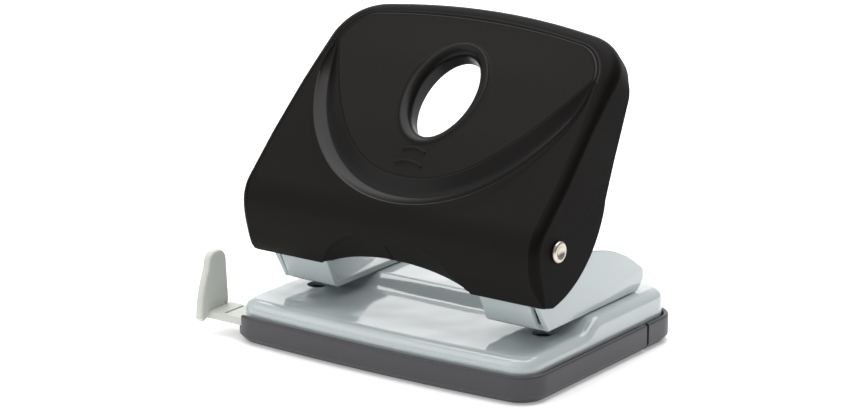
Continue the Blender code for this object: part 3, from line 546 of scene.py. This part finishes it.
    wallTop = sheet(edge[:, 0], edge[:, 1], rounding + sunk)
    for share in (0.0, 0.02, 0.05, 0.15, 0.3, 0.45, 0.6, 0.75, 0.9, 0.97):
        addRow(rim + (wallTop - rim) * share, 0.25)
    for angle in np.radians(np.linspace(90, 6, 12)):
        place = edge + (start - edge) * (1 - math.sin(angle))
        keep = isFront + (1 - isFront) * (1 - math.sin(angle) ** 2)
        addSheetRow(place, 0.45, rounding * (1 - math.cos(angle)), keep)
    outerPlace = onRay(outer)
    for share in np.linspace(0, 1, 52)[:-1]:
        place = start + (outerPlace - start) * share
        bead = hood["bead"] * smoothStep(share, 0.86, 0.97) * np.clip((outer - panel) / 3, 0, 1)
        addSheetRow(place, 0.75 * (edge[:, 1] > 50) * (1 - share) + 0.1, -bead)
    wide = outer - panel
    deep = np.minimum(hood["grooveDepth"], 0.3 * wide)
    for share in (0, 0.05, 0.12, 0.2, 0.28, 0.34, 0.38, 0.43, 0.5, 0.6, 0.7, 0.8, 0.9, 0.96, 1.0):
        place = onRay(outer - wide * share)
        low, high = share / hood["valley"], (1 - share) / (1 - hood["valley"])
        vee = min(low, high) - 0.12 * math.exp(-((share - hood["valley"]) / 0.08) ** 2)
        bead = hood["bead"] * (1 - smoothStep(share, 0, 0.1)) * np.clip(wide / 3, 0, 1)
        addSheetRow(place, 1.0, deep * vee - bead)
    for share in np.linspace(0, 1, 56)[1:]:
        place = onRay(panel - 0.25 + (rimEdge - panel + 0.25) * share)
        swell = hood["rimSwell"] * smoothStep(share, 0.9, 1.0)
        addSheetRow(place, 0.0 if share < 0.97 else 0.8, -swell)
    baseRim = relief(*onRay(rimEdge).T) - hood["rimSwell"]
    for angle in np.radians(np.linspace(10, 90, 9)):
        place = onRay(rimEdge + (hole - rimEdge) * math.sin(angle))
        addRow(sheet(*place.T, baseRim + hood["rimDrop"] * (1 - math.cos(angle))), 1.0)
    outsideRows = len(rows)
    through = onRay(hole)
    for depth in (3.6, 4.6, hood["holeDepth"] - 0.3):
        addRow(sheet(*through.T, depth), 0.9)
    for far, depth in ((0.3, 0.0), (1.5, 0.0), (1.8, -0.3), (1.9, -1.6), (2.4, -2.6)):
        place = onRay(hole + far)
        addRow(sheet(*place.T, hood["holeDepth"] + depth), 0.5)

    # the inside follows some of the outside's rows a wall's thickness below them
    outsideGrid = np.stack(plain[:outsideRows])
    alongRows = np.gradient(outsideGrid, axis=0)
    alongColumns = (np.roll(outsideGrid, -1, 1) - np.roll(outsideGrid, 1, 1)) / 2
    normal = np.cross(alongColumns, alongRows)
    normal /= np.maximum(np.linalg.norm(normal, axis=-1, keepdims=True), 1e-12)
    if normal[60, :, 2].mean() > 0:
        normal = -normal
    followed = (140, 132, 124, 112, 98, 90, 84, 74, 66, 58, 50, 42,
                34, 28, 22, 20, 17, 14, 11, 10, 8, 6, 4, 2)
    for k in followed:
        addRow(outsideGrid[k] + normal[k] * hood["wall"], 0.4)
    inward = rim + normal[1] * hood["wall"]
    lift = (wallTop - rim) / np.maximum(np.linalg.norm(wallTop - rim, axis=1, keepdims=True), 1e-9)
    addRow(inward + lift * 0.25, 0.5)
    addRow(rim * 0.12 + inward * 0.88, 0.6)
    addRow(rim * 0.88 + inward * 0.12, 0.6)
    shape = gridArrays(np.stack(rows), wrapRows=True)
    piece = newPiece("leverHood", shape, "black_plastic", 50, polish=np.stack(polish))
    return stands(piece, "lever", "lever_cover")


def buildHoodRibs():  # two stiffening ribs, rooted in the wall under the panel and following its crown
    tilt = math.radians(hood["faceAngle"])
    x, thick, low, root = hood["rib"]
    s = np.linspace(*hood["ribRun"], 24)
    along = np.concatenate([s, s[::-1]])
    height = np.concatenate([hood["nose"] - root + crownHeight(x, s), np.full(len(s), low)])
    outline = np.stack([hood["pivot"][0] + along * math.cos(tilt) - height * math.sin(tilt),
                        hood["pivot"][1] + along * math.sin(tilt) + height * math.cos(tilt)], -1)
    for side, sign in (("left", -1), ("right", 1)):
        mesh = plateMesh([outline], thick, 0.3, sideOn, (sign * x, 0, 0))
        stands(namedPiece(f"hoodRib_{side}", mesh, "black_plastic", 35), "lever")


leverHood = buildHood()
buildHoodRibs()
print("hood made:", len(leverHood.data.polygons), "faces")


# Plan of the base: straight sides, round corners and a gently bowed front

plan = {"halfWidth": 53.2, "halfDepth": 40.6, "corner": 9.0, "bow": 1.5}


def planLoop(inset, perCorner=16, perSide=40):
    half, rear = plan["halfWidth"] - inset, plan["halfDepth"] - inset
    low = -plan["halfDepth"] + plan["bow"] + inset
    corner, tip = plan["corner"] - inset, plan["halfWidth"] - plan["corner"]
    bow = arcThrough((-tip, low), (0, low - plan["bow"]), (tip, low), perSide)
    pieces = [bow[:-1], arcPoints((tip, low + corner), corner, -90, 0, perCorner),
              arcPoints((half - corner, rear - corner), corner, 0, 90, perCorner),
              arcPoints((corner - half, rear - corner), corner, 90, 180, perCorner),
              arcPoints((-tip, low + corner), corner, 180, 270, perCorner)[:-1]]
    gaps = [np.linspace(pieces[k][-1], pieces[k + 1][0], perSide)[1:-1] for k in (1, 2, 3)]
    return np.concatenate([pieces[0], pieces[1], gaps[0], pieces[2], gaps[1], pieces[3], gaps[2], pieces[4]])


basePlate = {
    "inset": 2.0, "sheet": 1.2, "skirt": 7.5, "table": 12.5, "deck": 15.8, "ramp": (-7.0, 0.5), "round": 3.2,
    "holes": ((-40, -12.3), (40, -12.3)), "hole": 3.2,
}


def plateHeight(y):  # table in front, deck behind, an S-shaped ramp between
    table, deck = basePlate["table"], basePlate["deck"]
    return table + (deck - table) * smoothStep(y, *basePlate["ramp"])


# loops of the plan from the skirt's foot over the top to the middle, and back along the underside
def buildBasePlate():
    inset, rolled, sheetThick = basePlate["inset"], basePlate["round"], basePlate["sheet"]
    rows = []

    def loop(extra, drop, k=1.0):
        flat = planLoop(inset + extra) * k
        rows.append(np.column_stack([flat, plateHeight(flat[:, 1]) - drop]))

    def skirtRow(extra, z):
        flat = planLoop(inset + extra)
        rows.append(np.column_stack([flat, 0 * flat[:, 0] + z]))

    skirtRow(0.0, basePlate["skirt"] + 0.2)
    skirtRow(0.0, basePlate["skirt"] + 1.0)
    for angle in np.radians(np.linspace(90, 0, 12)):
        loop(rolled * (1 - math.sin(angle)), rolled * (1 - math.cos(angle)))
    for k in np.linspace(1, 0, 70)[1:]:
        loop(rolled, 0.0, k)
    for k in np.linspace(0, 1, 16)[:-1]:
        loop(rolled, sheetThick, k)
    for angle in np.radians(np.linspace(0, 90, 6)):
        small = rolled - sheetThick
        loop(sheetThick + small * (1 - math.sin(angle)), sheetThick + small * (1 - math.cos(angle)))
    skirtRow(sheetThick, basePlate["skirt"] + 0.2)
    skirtRow(sheetThick - 0.2, basePlate["skirt"])
    skirtRow(0.2, basePlate["skirt"])
    plate = newPiece("plateBlank", gridArrays(np.stack(rows), wrapRows=True), "grey_paint")
    solid = plate.data.copy()
    bpy.data.objects.remove(plate, do_unlink=True)
    cuts = [("DIFFERENCE", rodMesh(basePlate["hole"], 8, 18, *place)) for place in basePlate["holes"]]
    mesh = combine(solid, cuts)
    return stands(namedPiece("basePressing", mesh, "grey_paint", 40), "base", "base_plate")


buildBasePlate()

cover = {
    "wall": 1.5, "height": 8.2, "chamfer": 1.9, "floor": 1.4, "hinge": 22.85, "slit": 0.55, "lip": 0.7,
    "notch": ((-80, -37.7, 4.2), (-44.2, -25.9, 20)), "far": 80,
}


def coverMesh():  # wall section carried round the plan: underside, chamfer, wall, round lip, inside, floor
    rows = []

    def row(extra, z, k=1.0):
        flat = planLoop(extra) * k
        rows.append(np.column_stack([flat, 0 * flat[:, 0] + z]))

    cut, top, lip, wall, floor = (cover[key] for key in ("chamfer", "height", "lip", "wall", "floor"))
    for k in (0.0, 0.5, 0.97):
        row(cut, 0.0, k)
    for extra, z in ((cut + 0.25, 0.0), (cut, 0.05), (cut - 0.2, 0.16),
                     (0.2, cut - 0.16), (0.05, cut), (0.0, cut + 0.2)):
        row(extra, z)
    for z in (3.2, 4.6, 6.0):
        row(0.0, z)
    for angle in np.radians(np.linspace(0, 180, 13)):
        row(wall / 2 - wall / 2 * math.cos(angle), top - lip + lip * math.sin(angle))
    for extra, z in ((wall, 4.0), (wall, floor + 1), (wall + 1, floor)):
        row(extra, z)
    for k in (0.6, 0.0):
        row(wall + 1, floor, k)
    blank = newPiece("coverBlank", gridArrays(np.stack(rows)), "dark_plastic")
    mesh = blank.data.copy()
    bpy.data.objects.remove(blank, do_unlink=True)
    return mesh


def buildCover():  # cut in two at the living hinge, with a notch where the guide's arm comes out
    far, hinge, slit = cover["far"], cover["hinge"], cover["slit"]
    notch = [("DIFFERENCE", boxMesh(*cover["notch"]))]
    front = combine(coverMesh(), [("INTERSECT", boxMesh((-far, -far, -9), (far, hinge - slit, 20)))] + notch)
    stands(namedPiece("chipCover", front, "dark_plastic", 40), "tray", "chip_tray")
    rear = combine(coverMesh(), [("INTERSECT", boxMesh((-far, hinge + slit, -9), (far, far, 20)))])
    stands(namedPiece("coverRearBand", rear, "dark_plastic", 40), "base", "tray_rear_band")


buildCover()
print("base and cover made")


# Brackets: a folded strip, a floor beside its slit, and a cheek with the pivot ear

bracket = {
    "sheet": 1.8, "inner": 26.6, "outer": 46.6, "bottom": 16.1, "front": -21.2, "rear": 27.5, "lean": 26.0,
    "slit": 1.2, "tabTop": 32.2, "tabReach": 5.5, "ear": 5.4, "edge": 0.35, "pin": (40.0, -12.3), "hole": 3.2,
    "slope": ((27.5, 24.2), (16, 30.6), (0, 34.4)), "tail": 30.6, "saddle": 33.2,
    "rivets": ((36.0, 8.0), (36.0, 21.0)),
}


def bracketStrip():  # side view: foot, front wall leaning forward, and tab for the pin
    thick, bottom, top = bracket["sheet"], bracket["bottom"], bracket["tabTop"]
    lean = math.tan(math.radians(bracket["lean"]))
    topY = bracket["front"] - lean * (top - bottom)
    across = thick / math.cos(math.radians(bracket["lean"]))
    tabRear = bracket["pin"][1] + bracket["tabReach"]
    return roundedOutline([
        (bracket["rear"], bottom, 0), (bracket["front"], bottom, 3.0), (topY, top, 3.0), (tabRear, top, 0),
        (tabRear, top - thick, 0), (topY + across + lean * thick, top - thick, 1.2),
        (bracket["front"] + across - lean * thick, bottom + thick, 1.2), (bracket["rear"], bottom + thick, 0),
    ])


def bracketCheek():  # side view: flat foot, round tail, arched slope, saddle, and the ear about the pivot
    bottom, ear, (y, z) = bracket["bottom"], bracket["ear"], hood["pivot"]
    low, crest = bracket["slope"][0], bracket["slope"][-1]
    tail, saddleTop = bracket["tail"], bracket["saddle"]
    rear = roundedOutline([(bracket["front"] + 1.5, bottom, 0), (low[0], bottom, 3), (tail, 19, 1.5),
                           (tail, 22.2, 2), (*low, 0)])
    slope = arcThrough(*bracket["slope"], 24)
    saddle = roundedOutline([(*crest, 0), (-5.3, saddleTop, 2), (y + ear, saddleTop, 2.5), (y + ear, z, 0),
                             (0, z, 0)])
    saddle = saddle[saddle[:, 1] < crest[1] - 0.1]
    return np.concatenate([rear, slope[1:], saddle, arcPoints((y, z), ear, 0, 180, 32), [(y - ear, 31.0)]])


def buildBracket(side, sign):
    thick, edge, bottom = bracket["sheet"], bracket["edge"], bracket["bottom"]
    stripOuter = bracket["outer"] - thick - bracket["slit"]
    middle = sign * (stripOuter + bracket["inner"]) / 2
    strip = plateMesh([bracketStrip()], stripOuter - bracket["inner"], edge, sideOn, (middle, 0, 0))
    low, high = sorted((sign * (stripOuter - 1.5), sign * (bracket["outer"] - 0.5)))
    floorPart = boxMesh((low, bracket["front"] + 1.6, bottom + 0.02),
                        (high, bracket["rear"] - 0.4, bottom + thick - 0.02))
    cheek = plateMesh([bracketCheek()], thick, edge, sideOn, (sign * (bracket["outer"] - thick / 2), 0, 0))
    holes = [("DIFFERENCE", rodMesh(bracket["hole"], 10, 40, sign * bracket["pin"][0], bracket["pin"][1]))]
    mesh = combine(strip, [("UNION", floorPart), ("UNION", cheek)] + holes)
    stands(namedPiece(f"bracketFold_{side}", mesh, "grey_paint", 32), "base", f"bracket_{side}")


pinLook = {"radius": 2.9, "head": 4.4, "top": 40.0, "tip": 16.4, "groove": 0.9,
           "clip": 30.1, "clipThick": 0.8, "clipOuter": 4.4, "clipBore": 2.3}
springLook = {"radius": 3.75, "wire": 0.4, "turns": 5, "low": 18.2, "high": 29.0, "travel": 6.4}


def buildPin(side, sign):  # turned: flat head with a round rim, shank, groove for the clip, hollow end
    radius, head, top, tip = (pinLook[key] for key in ("radius", "head", "top", "tip"))
    clip, thick, groove = pinLook["clip"], pinLook["clipThick"], radius - pinLook["groove"]
    rim = [(head - 0.5 + 0.5 * math.sin(a), top - 0.5 + 0.5 * math.cos(a))
           for a in np.linspace(0, np.pi / 2, 8)]
    profile = [(0, top), (1.0, top), *rim, (head, top - 1.1), (head - 0.1, top - 1.2), (radius, top - 1.2),
               (radius, clip + 0.4), (radius - 0.1, clip + 0.3), (groove, clip + 0.3),
               (groove, clip - thick - 0.3), (radius - 0.1, clip - thick - 0.3), (radius, clip - thick - 0.4),
               (radius, tip + 0.1), (radius - 0.1, tip), (radius - 0.5, tip), (groove, tip + 0.3),
               (0, tip + 1.2)]
    x = sign * bracket["pin"][0]
    shape = turnedGrid(profile, (np.eye(3), (x, bracket["pin"][1], 0)))
    stands(newPiece(f"punchPin_{side}", shape, "steel"), f"pin_{side}", f"punch_pin_{side}")
    outer = arcPoints((0, 0), pinLook["clipOuter"], 111, 429, 60)  # open at the rear
    bore = arcPoints((0, 0), pinLook["clipBore"], 46, -226, 48)
    ring = np.concatenate([outer, bore]) + [x, bracket["pin"][1]]
    clipMesh = plateMesh([ring], thick, 0.15, flatOn, (0, 0, clip - thick / 2))
    stands(namedPiece(f"springClip_{side}", clipMesh, "steel", 40), f"pin_{side}", f"spring_clip_{side}")


def buildSpring(side, sign):  # a helix whose end turns lie nearly flat
    wire, turns = springLook["wire"], springLook["turns"]
    low, high = springLook["low"] + wire, springLook["high"] - wire
    share = np.linspace(0, 1, turns * 48 + 1)
    lead = 0.8 / turns
    climb = np.clip((share - lead / 2) / (1 - lead), 0, 1)
    angle = share * 2 * np.pi * turns
    path = np.stack([sign * bracket["pin"][0] + springLook["radius"] * np.cos(angle),
                     bracket["pin"][1] + springLook["radius"] * np.sin(angle),
                     low + (high - low) * (0.72 * climb + 0.28 * share)], -1)
    spring = newPiece(f"punchSpring_{side}", tubeGrid(path, wire), "spring_steel")
    stands(spring, "base", f"punch_spring_{side}")
    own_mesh(spring)


pivotLook = {"head": 3.15, "shank": 2.4, "tail": 3.6, "bead": (2.35, 0.8),
             "washer": (2.7, 5.0), "washerRun": (0.3, 0.9)}


def buildPivot(side, sign):  # turned on the pivot's axis: head with a dished crown, shank, clenched tail
    y, z = hood["pivot"]
    place = (np.array([[0, 0, sign], [0, 1, 0], [-sign, 0, 0]]), (0, y, z))
    head, shank, tail = pivotLook["head"], pivotLook["shank"], pivotLook["tail"]
    face, (middle, bead) = hood["halfWidth"] + 0.3, pivotLook["bead"]
    crown = [(middle + bead * math.sin(a), face + 0.15 + bead * math.cos(a))
             for a in np.linspace(-0.9, np.pi / 2, 12)]
    inner = bracket["outer"] - bracket["sheet"] - 0.3
    clench = [(tail - 0.4 * (1 - math.cos(a)), inner - 0.3 - 0.5 * math.sin(a))
              for a in np.linspace(0, np.pi / 2, 6)]
    profile = [(0, face + 0.12), (0.5, face + 0.14), (1.1, face + 0.3), *crown, (head, face), (shank, face),
               (shank, inner), (tail, inner), *clench, (0, inner - 1.0)]
    rivet = newPiece(f"pivotRivet_{side}", turnedGrid(profile, place), "nickel", 45)
    stands(rivet, "base", f"pivot_rivet_{side}")
    low, high = (bracket["outer"] + far for far in pivotLook["washerRun"])
    bore, outer = pivotLook["washer"]
    rim = [(outer, high - 0.1), (outer, low + 0.1), (outer - 0.1, low), (bore + 0.1, low), (bore, low + 0.1),
           (bore, high - 0.1), (bore + 0.1, high), (outer - 0.1, high), (outer, high - 0.1)]
    washer = newPiece(f"pivotWasher_{side}", turnedGrid(rim, place), "nickel", 45)
    stands(washer, "base", f"pivot_washer_{side}")


deckRivet = {"head": 3.2, "dome": 1.2, "shank": 1.8, "tail": 2.8, "length": 3.9}


def buildBracketRivets():  # turned: domed head, shank through the sheet, clenched tail
    head, dome, shank, tail, length = deckRivet.values()
    top = bracket["bottom"] + bracket["sheet"] + 0.3
    cap = [(head * math.sin(a), top + dome * math.cos(a)) for a in np.linspace(0, np.pi / 2, 12)]
    profile = [*cap, (shank, top), (shank, top - length), (tail, top - length), (tail - 0.2, top - 4.6),
               (0, top - 4.7)]
    for side, sign in (("left", -1), ("right", 1)):
        for where, (x, y) in zip(("front", "rear"), bracket["rivets"]):
            shape = turnedGrid(profile, (np.eye(3), (sign * x, y, 0)), 40)
            rivet = newPiece(f"deckRivet_{side}_{where}", shape, "nickel")
            stands(rivet, "base", f"bracket_rivet_{side}_{where}")


for side, sign in (("left", -1), ("right", 1)):
    buildBracket(side, sign)
    buildPin(side, sign)
    buildSpring(side, sign)
    buildPivot(side, sign)
buildBracketRivets()
print("brackets, pins, springs and rivets made")

guide = {
    "fence": -61.5, "inner": 44.0, "front": -37.4, "rear": -26.2, "bottom": 4.5, "top": 6.8, "crest": 24.2,
    "thick": 2.7, "marks": (-56.2, -22.0, 6.0), "groove": (0.9, 0.6),
}


def buildGuide():  # flat arm with three grooves, and an upright fence whose front edge is bowed
    low, high, thick = guide["bottom"], guide["top"], guide["thick"]
    arm = roundedOutline([(guide["fence"] - 1, guide["front"], 0), (guide["inner"], guide["front"], 2),
                          (guide["inner"], guide["rear"], 2), (guide["fence"] - 1, guide["rear"], 0)])
    armMesh = plateMesh([arm], high - low, 0.3, flatOn, (0, 0, (low + high) / 2))
    front, rear = guide["front"] - 2.8, guide["rear"] - 1.0
    fence = roundedOutline([(rear, low - 0.6, 1), (rear - 1.4, guide["crest"], 3.6),
                            (front + 4.4, guide["crest"], 3.4), (front + 3.3, guide["crest"] - 5.2, 0)], 16)
    bowed = arcThrough((front + 3.3, guide["crest"] - 5.2), (front + 0.7, 12.0), (front - 0.3, low + 0.4), 24)
    fence = np.concatenate([fence[:-1], bowed, [(front + 0.6, low - 0.6)]])
    fenceMesh = plateMesh([fence], thick, 0.75, sideOn, (guide["fence"] - thick / 2, 0, 0))
    wide, deep = guide["groove"]
    grooves = [("DIFFERENCE", boxMesh((x - wide / 2, guide["front"] + 1.4, high - deep),
                                      (x + wide / 2, guide["rear"] - 1.4, high + 1))) for x in guide["marks"]]
    mesh = combine(armMesh, [("UNION", fenceMesh)] + grooves)
    stands(namedPiece("paperGuide", mesh, "light_plastic", 35), "guide", "paper_guide")


buildGuide()


cadFinish = {"press_frame": "steel", "guide_channel": "dark_plastic", "die_plate_left": "steel",
             "die_plate_right": "steel"}


def dressFrame():  # CAD nodes whose own shape is right keep it and take a finish
    for name, slot in cadFinish.items():
        mesh = nodes[name].data
        mesh.materials.clear()
        mesh.materials.append(looks[slot])


dressFrame()
print("guide made, frame dressed")


# Floor, light and camera

studio = {
    "floor": (0.94, 0.94, 0.94), "floorBlotch": (0.92, 0.92, 0.92), "floorGlow": 0.25,
    "zenith": 0.75, "horizon": 0.32, "rightShade": 0.65, "rearGlow": 1.5,
    "lamps": (("topLight", (-0.15, 0.30, 1.25), 1.5, 21.0), ("frontLight", (-0.75, -0.9, 0.75), 0.9, 2.5)),
    "lens": 140.06, "camera": (0.53324, -0.76624, 0.30989),
    "right": (0.8168, 0.5770, 0.0), "up": (-0.1599, 0.2263, 0.96085), "back": (0.5543, -0.7848, 0.2771),
}


# bright overhead, dimmer towards the horizon and dimmest on the right, with a glow low behind on the left
def buildSky():
    world = bpy.data.worlds.new("studio")
    world.use_nodes = True
    sky = Shader.__new__(Shader)
    sky.tree = world.node_tree
    place = sky.tree.nodes.new("ShaderNodeTexCoord")
    split = sky.tree.nodes.new("ShaderNodeSeparateXYZ")
    sky.tree.links.new(place.outputs["Generated"], split.inputs[0])
    across, away, up = (Value(sky, socket) for socket in split.outputs)
    bright = up.ramp(-0.1, 0.9, studio["horizon"], studio["zenith"])
    bright = bright * across.ramp(0.1, 0.9, 1.0, 1 - studio["rightShade"])
    glow = away.ramp(0.1, 0.6) * up.ramp(0.2, 0.5, 1.0, 0.0) * across.ramp(-0.35, 0.3, 1.0, 0.0)
    bright = bright + glow * studio["rearGlow"]
    backdrop = sky.tree.nodes["Background"]
    backdrop.inputs["Color"].default_value = (1, 1, 1, 1)
    sky.feed(backdrop.inputs["Strength"], bright)
    bpy.context.scene.world = world


def buildStudio():
    bpy.ops.mesh.primitive_plane_add(size=12, location=(0, 0, -0.0002))
    floor = bpy.context.object
    floor.name = "floor"
    shader = Shader("pale paper")
    shade = shader.node("ShaderNodeTexNoise", None, {"Vector": shader.place, "Scale": 3.0})
    shader.set(Base_Color=shader.mix(shade * 0.1, studio["floor"], studio["floorBlotch"]), Roughness=0.9)
    shader.set(Emission_Color=(1, 1, 1, 1), Emission_Strength=studio["floorGlow"])
    floor.data.materials.append(shader.material)
    buildSky()
    for name, place, size, power in studio["lamps"]:
        data = bpy.data.lights.new(name, "AREA")
        data.size, data.energy = size, power
        lamp = bpy.data.objects.new(name, data)
        lamp.location = place
        aim = -lamp.location.normalized()
        lamp.rotation_euler = aim.to_track_quat("-Z", "Y").to_euler()
        bpy.context.scene.collection.objects.link(lamp)
    data = bpy.data.cameras.new("camera")
    data.lens, data.sensor_width = studio["lens"], 36
    data.clip_start, data.clip_end = 0.05, 20
    camera = bpy.data.objects.new("camera", data)
    turn = Matrix([studio[axis] for axis in ("right", "up", "back")]).transposed().to_4x4()
    camera.matrix_world = Matrix.Translation(studio["camera"]) @ turn
    bpy.context.scene.collection.objects.link(camera)
    bpy.context.scene.camera = camera
    view = bpy.context.scene.view_settings
    view.view_transform, view.look = "Standard", "None"


buildStudio()
print("scene complete")
